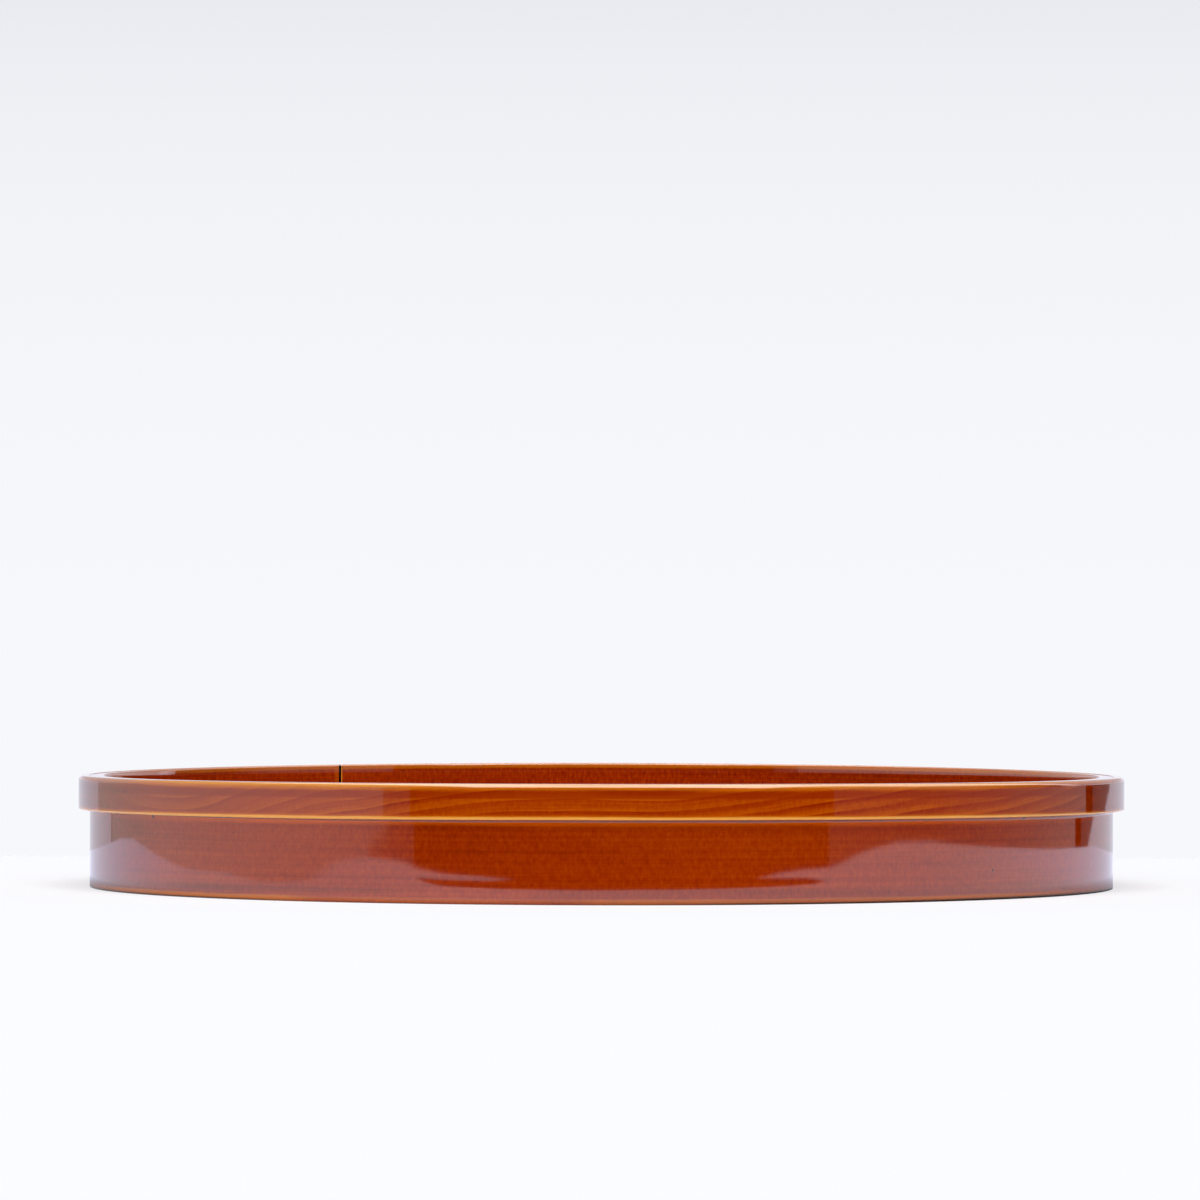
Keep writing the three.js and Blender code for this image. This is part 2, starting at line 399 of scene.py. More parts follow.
def corner_bead(name, start, stop, corner, reach):
    """A fillet of lacquer in a ring-shaped corner. corner(turn) gives its (radius, height) and the
    ways its two legs run; reach(turn) is how far they run."""
    curve_steps = 8
    sunk = 0.05 * MM
    steps = int((stop - start) / RING_STEP)
    closed = stop - start > 2 * math.pi - 1e-6
    turns = np.linspace(start, stop, steps + 1)
    if closed:
        turns = turns[:-1]
    sections = []
    for turn in turns:
        (radius, height), (out, up) = corner(turn)
        size = reach(turn)
        outline = [(radius - out * sunk, height - up * sunk), (radius - out * sunk, height + up * size)]
        for step in range(1, curve_steps):
            bend = step / curve_steps * math.pi / 2
            across, rise = 1 - math.cos(bend), 1 - math.sin(bend)
            outline.append((radius + out * size * across, height + up * size * rise))
        outline.append((radius + out * size, height - up * sunk))
        sections.append(around(turn, outline))
    points, faces = sweep(sections, closed)
    return solid(name, points, faces)


def rim_bead():
    """Under the rim band, from its start at the left past the front and on to the back."""
    start, stop = math.radians(BEAD_START), math.radians(BEAD_STOP)
    full = 0.85 * MM

    def reach(turn):
        grown = min(1, (turn - start) / math.radians(50))
        fading = min(1, (stop - turn) / math.radians(12))
        wave = 0.06 * math.sin(turn * 9) + 0.04 * math.sin(turn * 23)
        thick = 0.25 * math.exp(-((math.degrees(turn) - 333) / 20) ** 2)
        return full * (0.25 + 0.75 * grown + thick) * (0.1 + 0.9 * fading) * (1 + wave)

    def corner(turn):
        return (HOOP_OUTER, BAND_FOOT + band_lift(HOOP_OUTER * math.cos(turn))), (1, -1)

    return corner_bead("rim_lacquer_bead", start, stop, corner, reach)


def floor_bead():
    """Where the panel meets the hoop's inner wall."""
    def reach(turn):
        return 0.55 * MM * (1 + 0.1 * math.sin(turn * 7) + 0.06 * math.sin(turn * 17))

    def corner(turn):
        return (HOOP_INNER, PANEL_TOP), (-1, 1)

    return corner_bead("floor_lacquer_bead", 0, 2 * math.pi, corner, reach)


def joint_glue():
    """The glue in the four joints between the boards, a little lower than their faces."""
    points, faces = [], []
    for i in range(1, BOARD_COUNT):
        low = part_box(f"base_board_{i}")[1].y
        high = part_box(f"base_board_{i + 1}")[0].y
        half = math.sqrt(FLOOR_RADIUS ** 2 - ((low + high) / 2) ** 2) - 0.3 * MM
        foot, top = PANEL_FOOT + 0.1 * MM, PANEL_TOP - 0.06 * MM
        corners = [(-half, low), (half, low), (half, high), (-half, high)]
        first = len(points)
        points += [(x, y, foot) for x, y in corners] + [(x, y, top) for x, y in corners]
        sides = [(k, (k + 1) % 4, (k + 1) % 4 + 4, k + 4) for k in range(4)]
        faces += [tuple(first + k for k in face) for face in sides + [(3, 2, 1, 0), (4, 5, 6, 7)]]
    return solid("board_joint_glue", points, faces)


# Shader helpers

class Net:
    """A node tree that is built by calls. An argument is a socket or a number."""

    def __init__(self, tree):
        self.tree = tree
        tree.nodes.clear()

    def add(self, kind, **settings):
        made = self.tree.nodes.new(kind)
        for name, value in settings.items():
            setattr(made, name, value)
        return made

    def plug(self, socket, value):
        if isinstance(value, bpy.types.NodeSocket):
            self.tree.links.new(value, socket)
        else:
            socket.default_value = value

    def feed(self, made, *values):
        """Plugs a node's first inputs, in order, and gives its first output."""
        for socket, value in zip(made.inputs, values):
            self.plug(socket, value)
        return made.outputs[0]

    def place(self):
        """The parts of a point's place, in metres."""
        return self.split(self.add("ShaderNodeTexCoord").outputs["Object"])

    def strip_place(self):
        """The parts of a point's place in the straight strip: along, up and through."""
        return self.split(self.add("ShaderNodeAttribute", attribute_name="strip").outputs["Vector"])

    def split(self, vector):
        made = self.add("ShaderNodeSeparateXYZ")
        self.plug(made.inputs[0], vector)
        return made.outputs

    def join(self, x, y, z):
        return self.feed(self.add("ShaderNodeCombineXYZ"), x, y, z)

    def scaled(self, parts, x, y, z):
        """A vector whose parts are stretched, each by its own factor."""
        return self.join(*[self.times(part, factor) for part, factor in zip(parts, (x, y, z))])

    def math(self, operation, *values):
        return self.feed(self.add("ShaderNodeMath", operation=operation), *values)

    def times(self, first, *others):
        for other in others:
            first = self.math("MULTIPLY", first, other)
        return first

    def most(self, first, *others):
        for other in others:
            first = self.math("MAXIMUM", first, other)
        return first

    def minus(self, a, b):
        return self.math("SUBTRACT", a, b)

    def fused(self, a, b, c):
        """a times b, plus c."""
        return self.math("MULTIPLY_ADD", a, b, c)

    def rest(self, share):
        """What a share leaves of 1."""
        return self.minus(1.0, share)

    def gain(self, share, amount):
        """1 where share is 0, and 1 plus amount where it is 1."""
        return self.fused(share, amount, 1.0)

    def towards(self, share, value, other):
        """value where share is 0, and other where it is 1."""
        return self.fused(self.minus(other, value), share, value)

    def size(self, value):
        return self.math("ABSOLUTE", value)

    def length(self, x, y):
        return self.math("SQRT", self.fused(x, x, self.times(y, y)))

    def above(self, value, edge):
        return self.math("GREATER_THAN", value, edge)

    def below(self, value, edge):
        return self.math("LESS_THAN", value, edge)

    def between(self, value, low, high):
        return self.times(self.above(value, low), self.below(value, high))

    def range(self, value, low, high, to_low=0.0, to_high=1.0, smooth=True):
        kind = "SMOOTHSTEP" if smooth else "LINEAR"
        made = self.add("ShaderNodeMapRange", interpolation_type=kind)
        return self.feed(made, value, low, high, to_low, to_high)

    def fall(self, value, low, high):
        """1 up to low, 0 from high on."""
        return self.range(value, low, high, 1.0, 0.0)

    def near(self, value, at, half, soft):
        """1 where value lies within half of at, fading out over soft."""
        return self.fall(self.size(self.minus(value, at)), half, half + soft)

    def spot(self, parts, along, up, radius):
        """1 in a small round spot on the strip."""
        distance = self.length(self.minus(parts[1], up), self.minus(parts[0], along))
        return self.fall(distance, radius * 0.5, radius)

    def noise(self, vector, detail=2.0, roughness=0.5):
        unused, scale = 0.0, 1.0
        return self.feed(self.add("ShaderNodeTexNoise"), vector, unused, scale, detail, roughness)

    def ramp(self, value, stops, mode="LINEAR"):
        made = self.add("ShaderNodeValToRGB")
        made.color_ramp.interpolation = mode
        elements = made.color_ramp.elements
        while len(elements) < len(stops):
            elements.new(0.5)
        for element, (at, colour) in zip(elements, stops):
            element.position = at
            element.color = (*colour, 1)
        return self.feed(made, value)

    def curve(self, value, points, full=1, mode="LINEAR"):
        """Reads a curve of (place, height) points, as a share of the full height."""
        first, last = points[0][0], points[-1][0]
        stops = [((at - first) / (last - first), (height / full,) * 3) for at, height in points]
        return self.split(self.ramp(self.range(value, first, last, smooth=False), stops, mode))[0]

    def mix(self, share, a, b, blend="MIX"):
        made = self.add("ShaderNodeMix", data_type="RGBA", blend_type=blend)
        self.plug(made.inputs["Factor"], share)
        for socket, value in ((made.inputs[6], a), (made.inputs[7], b)):
            self.plug(socket, (*value, 1) if isinstance(value, tuple) else value)
        return made.outputs[2]

    def shaded(self, colour, gain):
        """A colour made darker or lighter by a factor."""
        return self.mix(1.0, colour, self.join(gain, gain, gain), "MULTIPLY")

    def bump(self, height, distance, normal=None):
        made = self.add("ShaderNodeBump")
        self.plug(made.inputs["Distance"], distance)
        self.plug(made.inputs["Height"], height)
        if normal is not None:
            self.plug(made.inputs["Normal"], normal)
        return made.outputs[0]

    def mix_shader(self, share, a, b):
        return self.feed(self.add("ShaderNodeMixShader"), share, a, b)

    def see_through(self, surface, share):
        """A surface that lets rays pass where share is 1."""
        return self.mix_shader(share, surface, self.add("ShaderNodeBsdfTransparent").outputs[0])

    def show(self, kind, surface):
        """Makes a surface what the tree gives. The kind is Material or World."""
        self.plug(self.add(f"ShaderNodeOutput{kind}").inputs["Surface"], surface)

    def cover(self, shader, colour, waves, on=("Coat Normal", "Normal")):
        """Gives a shader its colour and its waves, and shows it."""
        self.plug(shader.inputs["Base Color"], colour)
        for name in on:
            self.plug(shader.inputs[name], waves)
        self.show("Material", shader.outputs[0])


def new_material(name, settings):
    """A material whose shader has these settings on its own sockets."""
    made = bpy.data.materials.new(name)
    made.use_nodes = True
    net = Net(made.node_tree)
    shader = net.add("ShaderNodeBsdfPrincipled")
    for socket, value in settings.items():
        shader.inputs[socket].default_value = value
    return made, net, shader


# A deep gloss coat. The sealed wood under it has no gloss of its own.
LACQUER = {
    "Roughness": 0.5,
    "Specular IOR Level": 0,
    "Coat Weight": 1,
    "Coat Roughness": 0.03,
    "Coat IOR": 1.85,
}
POOLED_LACQUER = {**LACQUER, "Coat IOR": 2.3}
BARK_SURFACE = {
    "Roughness": 0.32,
    "Specular IOR Level": 0.2,
    "Coat Weight": 0.7,
    "Coat Roughness": 0.12,
}
BAMBOO_SURFACE = {"Roughness": 0.55}

# Colours, in linear light
HOOP_DARK = (0.212, 0.0125, 0.0002)
HOOP_MID = (0.308, 0.0250, 0.0002)
HOOP_LIGHT = (0.408, 0.048, 0.0003)
BAND_DARK = (0.275, 0.0180, 0.0002)
BAND_MID = (0.362, 0.039, 0.0003)
BAND_LIGHT = (0.465, 0.074, 0.0004)
AMBER = (0.57, 0.115, 0.001)
HONEY = (0.60, 0.165, 0.006)
YELLOW_HONEY = (0.86, 0.38, 0.05)
BRIGHT_AMBER = (0.76, 0.120, 0.001)
SPECK_AND_SHADE = (0.03, 0.012, 0.006)
SLIT_SHADE = (0.006, 0.002, 0.001)
LENTICEL = (0.46, 0.17, 0.04)

# The colours of each wood's grain, from its dark parts to its light ones
HOOP_MIDDLE = 0.5
BAND_MIDDLE = 0.49
HOOP_WOOD = ((0.34, HOOP_DARK), (HOOP_MIDDLE, HOOP_MID), (0.68, HOOP_LIGHT))
BAND_WOOD = ((0.3, BAND_DARK), (BAND_MIDDLE, BAND_MID), (0.7, BAND_LIGHT))
BARK_SKIN = ((0.3, (0.17, 0.022, 0.004)), (0.7, (0.38, 0.07, 0.01)))
BAMBOO_FIBRE = ((0.3, (0.42, 0.27, 0.1)), (0.7, (0.64, 0.48, 0.24)))
POOLED = ((0.3, (0.19, 0.0115, 0.0003)), (0.7, (0.285, 0.021, 0.0005)))

# How far the growth rings have climbed up the band's face, from its lap round to it again:
# azimuth in degrees and height in millimetres
RING_CLIMB = (
    (43.6, 20), (62, 29), (80, 33), (104, 30), (130, 22.5), (160, 15), (182, 8.5), (204, 3.7), (218, 0),
    (227, 4), (237, 11), (246, 14.8), (256, 18.5), (266, 19.8), (279, 20.3), (290, 24), (303, 28.5),
    (319, 33), (333, 39), (350, 44), (372, 47), (390, 45), (404, 38),
)
CLIMB_TOP = 50
RING_PITCH = 3.15 * MM

# How dark or light the wood looks round each ring: azimuth in degrees and gain, 2 at most
# Partly the wood's own tone, partly painted shade that darkens the flanks, most at the left
HOOP_TONE_AND_SHADE = (
    (150, 1.0), (190, 0.58), (200, 0.67), (207, 0.82), (215, 0.96), (270, 1.0), (325, 1.03),
    (335, 1.07), (344, 0.9), (352, 0.8), (380, 0.95), (398, 0.89), (415, 0.85), (432, 0.94), (450, 1.0),
)
BAND_TONE_AND_SHADE = (
    (150, 1.0), (190, 0.5), (204, 0.64), (215, 0.82), (240, 0.9), (262, 1.0), (310, 1.03), (328, 0.95),
    (342, 0.82), (352, 0.74), (380, 1.0),
)
TONE_TOP = 2


def azimuth_on(net, ring, along):
    """The azimuth in degrees of a place along the strip, which runs on past 360."""
    return net.fused(along, math.degrees(1 / ring.outer), math.degrees(ring.outer_tip))


def toned_and_shaded(net, colour, azimuth, tones):
    """A colour with the tones round a ring: the wood's own tone, and painted shade on the flanks."""
    return net.shaded(colour, net.times(net.curve(azimuth, tones, TONE_TOP, "EASE"), TONE_TOP))


def off_front(net, azimuth):
    """How many degrees round from the front an azimuth is, either way."""
    return net.size(net.minus(azimuth, FRONT))


def calmed(net, grain, azimuth, middle):
    """The grain with less contrast on the two flanks, where the coat hides it."""
    flank = net.near(off_front(net, azimuth), 73, 7, 4)
    return net.fused(net.minus(grain, middle), net.gain(flank, -0.85), middle)


def blend_of(net, *layers):
    """Noises added up, each with its weight."""
    total = 0.0
    for weight, layer in layers:
        total = net.fused(layer, weight, total)
    return total


def straight_grain(net, parts):
    """Quarter-sawn wood: fine lines along it, a few broader ones, and short flecks."""
    along, up, through = parts
    sway = net.noise(net.join(net.times(along, 9), 0, 0), detail=1)
    shifted = (along, net.fused(sway, 0.9 * MM, up), through)
    lines = net.noise(net.scaled(shifted, 7, 900, 500), detail=3, roughness=0.6)
    fine = net.noise(net.scaled(shifted, 55, 4200, 2500))
    flecks = net.noise(net.scaled(shifted, 1400, 700, 300))
    clouds = net.noise(net.scaled(shifted, 14, 90, 60))
    return blend_of(net, (0.36, lines), (0.10, fine), (0.38, flecks), (0.18, clouds)), lines


def flat_grain(net, parts, azimuth):
    """Flat-sawn wood: growth rings that cut the face at a slant and climb it in long arcs. Each
    starts with a thin bright line and darkens upward until the next."""
    along, up, through = parts
    climb = net.curve(azimuth, RING_CLIMB, CLIMB_TOP, "CARDINAL")
    sway = net.noise(net.scaled(parts, 16, 60, 40), detail=3)
    rings = net.fused(climb, -CLIMB_TOP * MM, up)
    rings = net.fused(sway, 2.6 * MM, rings)
    rings = net.fused(through, 0.6, rings)
    year = net.math("FRACT", net.times(rings, 1 / RING_PITCH))
    bright = net.range(year, 0.0, 0.10)
    light = net.times(bright, net.range(year, 0.06, 0.94, 1.0, 0.0, smooth=False))
    strength = net.noise(net.join(net.times(along, 22), net.times(rings, 420), 0))
    strength = net.range(strength, 0.35, 0.62, 0.3, 1.0)
    light = net.fused(net.minus(light, 0.42), strength, 0.5)
    broad = net.noise(net.join(net.times(rings, 300), net.times(along, 6), 0))
    fine = net.noise(net.scaled((along, rings, through), 60, 2900, 2000))
    flecks = net.noise(net.scaled(parts, 1400, 700, 300))
    return blend_of(net, (0.30, light), (0.28, broad), (0.22, fine), (0.20, flecks)), light


def ragged_height(net, parts, sway):
    """The height on the strip, with a sway, so that no worn edge is ruled."""
    wander = net.noise(net.scaled(parts, 40, 300, 0))
    return net.fused(wander, sway, net.minus(parts[1], sway / 2))


def coat_waves(net, parts, rise, depth, grain, grain_depth):
    """The coat's slow waves, with a trace of the grain below."""
    skin = net.noise(net.scaled(parts, 30, rise, 0), detail=1)
    return net.bump(grain, grain_depth, net.bump(skin, depth))


def hoop_material(ring):
    made, net, shader = new_material("lacquered_hoop", LACQUER)
    parts = net.strip_place()
    along, up, through = parts
    azimuth = azimuth_on(net, ring, along)
    outside = net.range(through, HOOP_INNER + 0.5 * HOOP_WALL, HOOP_INNER + 0.6 * HOOP_WALL)
    inside = net.rest(outside)
    grain, lines = straight_grain(net, parts)
    streaks = net.noise(net.scaled(parts, 1400, 420, 0))
    grain = net.fused(net.times(net.minus(streaks, 0.5), inside), 0.5, grain)
    colour = net.ramp(calmed(net, grain, azimuth, HOOP_MIDDLE), HOOP_WOOD)
    # The wood's tone round the ring, with painted shade on the flanks
    colour = toned_and_shaded(net, colour, azimuth, HOOP_TONE_AND_SHADE)
    # Painted light: the outer face lighter towards the band, against the band's shadow
    upper = net.times(net.range(up, 17 * MM, 22 * MM, smooth=False), outside)
    # Painted shade: darker low down near the foot, but not at the left front
    lower = net.times(net.fall(up, 3.4 * MM, 5.4 * MM), net.gain(net.near(azimuth, 245, 14, 8), -1.0))
    worn_line = net.times(net.near(up, 3.3 * MM, 0.4 * MM, 0.7 * MM), net.near(azimuth, 232, 12, 8))
    for share, amount in ((inside, 0.12), (upper, 0.26), (lower, -0.18), (worn_line, -0.24)):
        colour = net.shaded(colour, net.gain(share, amount))
    # Where the coat is thin over edges the wood shows paler
    ragged = ragged_height(net, parts, 0.6 * MM)
    # Under the band the pale strip is brighter still: painted light against the band's shadow
    pale_and_lit_under_band = net.times(
        net.range(ragged, BAND_FOOT - 2.1 * MM, BAND_FOOT - 0.8 * MM),
        outside,
        net.range(azimuth, 203, 244, 0.1, 1.0),
        net.range(azimuth, 312, 334, 0.92, 0.12),
    )
    colour = net.mix(pale_and_lit_under_band, colour, BRIGHT_AMBER)
    worn = net.noise(net.join(net.times(along, 9), 0.4, 0), detail=1)
    foot = net.times(
        net.fall(ragged, 1.2 * MM, 2.0 * MM),
        outside,
        net.range(azimuth, 186, 208, 0.6, 1.4),
        net.range(azimuth, 240, 275, 1.0, 0.57),
        net.range(azimuth, 318, 340, 1.0, 0.35),
        net.range(worn, 0.35, 0.6, 0.7, 1.0),
        net.gain(net.near(azimuth, 252, 13, 6), -0.65),
        0.62,
    )
    edge = net.times(net.range(ragged, TRAY_TOP - 1.7 * MM, TRAY_TOP - 0.9 * MM), inside, 0.8)
    colour = net.mix(net.most(foot, edge), colour, HONEY)
    # The step beside the seam's tip, the tip's own worn edge, and the open slit between them
    step = net.near(along, ring.place(HOOP_SEAM + 0.6, ring.inner), 0.6 * MM, 0.4 * MM)
    tip = net.near(along, ring.place(HOOP_SEAM - 0.08, ring.inner), 0.12 * MM, 0.12 * MM)
    colour = net.mix(net.times(step, inside, 0.5), colour, AMBER)
    colour = net.mix(net.times(tip, inside, 0.7), colour, YELLOW_HONEY)
    # Painted shade: the slit's faces and a strip of the inner face beside it are painted near black
    first_turn = net.near(azimuth, HOOP_SEAM + 0.14, 0.16, 0.05)
    last_turn = net.near(azimuth, HOOP_SEAM + 360.1, 0.12, 0.02)
    colour = net.mix(net.most(net.times(first_turn, inside), last_turn), colour, SLIT_SHADE)
    # Painted contact shadow: a dark line along the foot where it stands, deeper and taller towards the
    # right, fainter at the front
    shade_deeper = net.range(azimuth, 285, 320)
    shade_fainter = net.near(azimuth, 255, 18, 14)
    line = net.times(
        net.fall(net.fused(shade_deeper, -0.2 * MM, up), 0.3 * MM, 0.7 * MM),
        net.range(through, HOOP_OUTER - 0.7 * MM, HOOP_OUTER - 0.3 * MM),
        net.fused(shade_deeper, 0.14, net.fused(shade_fainter, -0.42, 0.78)),
    )
    colour = net.shaded(colour, net.rest(line))
    # Specks in the coat, one at the seam's top and one where the bead starts
    specks = net.most(
        net.spot(parts, ring.place(317.11, ring.outer), 8.34 * MM, 0.5 * MM),
        net.spot(parts, ring.place(114.94, ring.inner), 30.83 * MM, 0.3 * MM),
        net.spot(parts, ring.place(HOOP_SEAM - 0.17, ring.inner), 32.4 * MM, 0.3 * MM),
        net.spot(parts, ring.place(BEAD_START + 0.05, ring.outer), BAND_FOOT - 0.35 * MM, 0.9 * MM),
    )
    colour = net.mix(specks, colour, SPECK_AND_SHADE)
    net.cover(shader, colour, coat_waves(net, parts, 45, 0.004 * MM, lines, 0.0006 * MM))
    return made


def band_material(ring):
    made, net, shader = new_material("lacquered_band", LACQUER)
    parts = net.strip_place()
    along, up, through = parts
    azimuth = azimuth_on(net, ring, along)
    grain, light = flat_grain(net, parts, azimuth)
    contrast = net.range(azimuth, 225, 255, 0.85, 1.55)
    contrast = net.times(contrast, net.range(azimuth, 302, 322, 1.0, 0.7))
    grain = net.fused(net.minus(grain, BAND_MIDDLE), contrast, BAND_MIDDLE)
    grain = calmed(net, grain, azimuth, BAND_MIDDLE)
    colour = net.ramp(net.minus(grain, net.range(azimuth, 322, 340, 0.0, 0.13)), BAND_WOOD)
    shadow = net.near(up, 29.9 * MM, 0.6 * MM, 0.7 * MM)
    colour = net.mix(net.times(shadow, 0.7), colour, BAND_DARK)
    # The wood's tone round the ring, with painted shade on the flanks
    colour = toned_and_shaded(net, colour, azimuth, BAND_TONE_AND_SHADE)
    # Both pale edges are narrower on the flanks
    ragged = ragged_height(net, parts, 0.5 * MM)
    flank = net.range(off_front(net, azimuth), 42, 66)
    upper = net.fused(flank, -0.7 * MM, ragged)
    lower = net.fused(flank, 0.25 * MM, ragged)
    edges = (
        (net.range(upper, TRAY_TOP - 2.1 * MM, TRAY_TOP - 1.3 * MM), 0.58, HONEY),
        (net.range(upper, TRAY_TOP - 1.2 * MM, TRAY_TOP - 0.6 * MM), 0.5, YELLOW_HONEY),
        (net.fall(lower, BAND_FOOT + 0.9 * MM, BAND_FOOT + 1.8 * MM), 0.55, AMBER),
        (net.fall(lower, BAND_FOOT + 0.6 * MM, BAND_FOOT + 1.15 * MM), 0.85, YELLOW_HONEY),
    )
    for share, strength, tone in edges:
        colour = net.mix(net.times(share, strength), colour, tone)
    net.cover(shader, colour, coat_waves(net, parts, 60, 0.003 * MM, light, 0.0004 * MM))
    return made


def panel_material():
    """Each board is cut from another place in the wood."""
    made, net, shader = new_material("lacquered_panel", LACQUER)
    x, y, z = net.place()
    pitch = 2 * TONGUE_RADIUS / BOARD_COUNT
    board = net.math("FLOOR", net.math("DIVIDE", net.math("ADD", y, TONGUE_RADIUS), pitch))
    parts = (net.fused(board, 0.37, x), net.fused(board, 0.11, y), z)
    grain, lines = straight_grain(net, parts)
    net.cover(shader, net.ramp(grain, HOOP_WOOD), net.bump(lines, 0.001 * MM))
    return made


def bark_material():
    made, net, shader = new_material("cherry_bark", BARK_SURFACE)
    parts = net.strip_place()
    bands = net.noise(net.scaled(parts, 1600, 60, 1), detail=3)
    pores = net.noise(net.scaled(parts, 2600, 380, 1), detail=1)
    lenticels = net.range(pores, 0.62, 0.7)
    colour = net.mix(lenticels, net.ramp(bands, BARK_SKIN), LENTICEL)
    relief = net.fused(lenticels, 0.8, bands)
    net.cover(shader, colour, net.bump(relief, 0.03 * MM), ["Normal"])
    return made


def bamboo_material():
    made, net, shader = new_material("bamboo", BAMBOO_SURFACE)
    fibres = net.noise(net.scaled(net.place(), 5000, 120, 5000), detail=3)
    net.cover(shader, net.ramp(fibres, BAMBOO_FIBRE), net.bump(fibres, 0.03 * MM), ["Normal"])
    return made


def bead_material():
    """Clear lacquer where it has pooled: deeper and redder than on the wood."""
    made, net, shader = new_material("pooled_lacquer", POOLED_LACQUER)
    x, y, z = net.place()
    clouds = net.noise(net.scaled((x, y, z), 300, 300, 300))
    azimuth = net.math("DEGREES", net.math("ARCTAN2", y, x))
    start = net.near(azimuth, BEAD_START - 360, 0.25, 0.15)
    # Painted shade: a dark line where the bead is thin, for the shade in the gap under the band
    gap_shade = net.times(net.near(azimuth, 219 - 360, 6, 5), 0.75)
    speck = net.near(azimuth, 322.56 - 360, 0.2, 0.1)
    colour = net.mix(net.most(start, gap_shade, speck), net.ramp(clouds, POOLED), SPECK_AND_SHADE)
    net.cover(shader, colour, net.bump(clouds, 0.002 * MM), ["Coat Normal"])
    return made


# The studio

TABLE_WHITE = (0.962, 0.967, 0.985)
TABLE_SEEN_WHITE = (0.962, 0.97, 0.99)
TABLE_SEEN_IN_GLOSS = (0.90, 0.92, 0.99)
TABLE_SEEN_IN_GLOSS_BEHIND = (0.885, 0.92, 1.12)
BACKDROP_SEEN_IN_GLOSS = (0.86, 0.88, 1.0)
SCREENS_SEEN_IN_GLOSS = (1.0, 1.0, 0.97)
LAMP_TINT = (0.97, 0.975, 1.0)
LAMP = 4.2
LIGHT_BEHIND = 4.1
TABLE_BACK = 0.272
TABLE_BACK_BLUR = 0.016
HIDDEN_RADIUS = 0.1472
SHADOW_FILL = 0.55

# The backdrop that the camera sees, up to so many degrees: share of that height and colour
BACKDROP_HEIGHT = 5
BACKDROP = (
    (0.0, (0.930, 0.939, 0.973)), (0.3, (0.913, 0.922, 0.956)), (0.6, (0.887, 0.895, 0.929)),
    (0.8, (0.846, 0.854, 0.896)), (1.0, (0.78, 0.78, 0.85)),
)

# The pale screens round the table: azimuth in degrees and brightness. Round the room 0 is towards
# the camera and + to the right.
SCREENS = (
    (-146, 0.58), (-130, 0.66), (-112, 0.76), (-90, 0.73), (-70, 0.65), (-55, 0.54), (-47, 0.45),
    (51, 0.113), (60, 0.112), (71, 0.098), (78, 0.108), (85, 0.155), (93, 0.19), (103, 0.245),
    (120, 0.33), (132, 0.34), (136.5, 0.1), (141, 0.14), (150, 0.18),
)
ROOM_LEFT = -41.7
ROOM_RIGHT = 51.2
POST_LEFT = 132.3

# The table's edge as the lacquer reflects it, from the front left corner: x and y in metres, and the
# width in millimetres over which it is out of focus there
TABLE_EDGE = (
    (-0.06, -0.26, 6), (0.03, -0.266, 6), (0.1, -0.256, 6), (0.18, -0.245, 8), (0.205, -0.255, 8),
    (0.21, -0.285, 8), (0.165, -0.322, 11), (0.215, -0.341, 12), (0.26, -0.344, 13),
    (0.305, -0.326, 13), (0.37, -0.342, 14), (0.44, -0.36, 14), (0.5, -0.36, 14),
    (0.61, -0.335, 12), (0.655, -0.24, 10), (0.62, -0.12, 10), (0.585, 0.01, 10), (0.48, 0.22, 10),
    (0.4, 0.33, 10), (-0.4, 0.33, 10), (-0.5, 0.33, 10), (-0.55, 0.27, 10), (-0.51, 0.175, 10),
    (-0.43, 0.06, 10), (-0.35, -0.03, 10), (-0.33, -0.1, 10), (-0.24, -0.14, 12),
    (-0.235, -0.185, 16), (-0.3, -0.23, 24), (-0.385, -0.3, 30), (-0.385, -0.375, 26),
    (-0.31, -0.4, 20), (-0.25, -0.366, 14), (-0.188, -0.349, 10), (-0.09, -0.34, 8),
    (-0.11, -0.32, 8), (-0.19, -0.299, 12), (-0.13, -0.259, 6),
)

CAMERA_PLACE = (-0.545 * MM, -2309.3 * MM, 80.4 * MM)
CAMERA_LENS = 238.59
CAMERA_SENSOR = 36
CAMERA_PITCH = -0.0012
CAMERA_ROLL = 0.00202


def screens(net, azimuth, elevation):
    """Screens at the left and right, a gap and the dark room in front, and a dark post at the right."""
    sky = net.curve(azimuth, SCREENS)
    gap_start = net.range(elevation, -1.75, -1.55, -52.8, -47.9, smooth=False)
    gap_light = net.range(azimuth, -50, -42, 0.19, 0.12, smooth=False)
    sky = net.towards(net.between(azimuth, gap_start, ROOM_LEFT), sky, gap_light)
    sky = net.times(sky, net.rest(net.between(azimuth, ROOM_LEFT, ROOM_RIGHT)))
    post_right = net.range(elevation, -1.5, -1.42, 135.9, 136.4)
    return net.times(sky, net.rest(net.between(azimuth, POST_LEFT, post_right)))


def lamp_shapes(net, x, y, z, glossy):
    """The lamp overhead, and the light behind it that shows in gloss alone. In gloss both reach
    further to the right, where they are dimmer."""
    upward = net.above(z, 0.0)
    across = net.times(net.fall(net.size(x), 0.40, 0.47), upward)
    left_end = net.times(net.range(x, -0.47, -0.40), upward)
    reach = net.times(net.fall(x, 0.48, 0.62), left_end)
    front = net.fused(glossy, 0.07, -0.87)
    lamp = net.times(
        net.range(net.minus(y, front), 0.0, 0.07),
        net.fall(y, -0.20, -0.10),
        net.towards(glossy, across, reach),
    )
    wide = net.times(net.fall(x, 0.74, 0.86), net.range(x, 0.30, 0.50, 1.0, 0.55), left_end)
    behind = net.times(
        net.range(y, -0.20, -0.10),
        net.fall(y, 0.55, 0.65),
        net.range(net.length(x, y), 0.11, 0.15, 0.05, 1.0),
        wide,
        glossy,
    )
    return lamp, behind


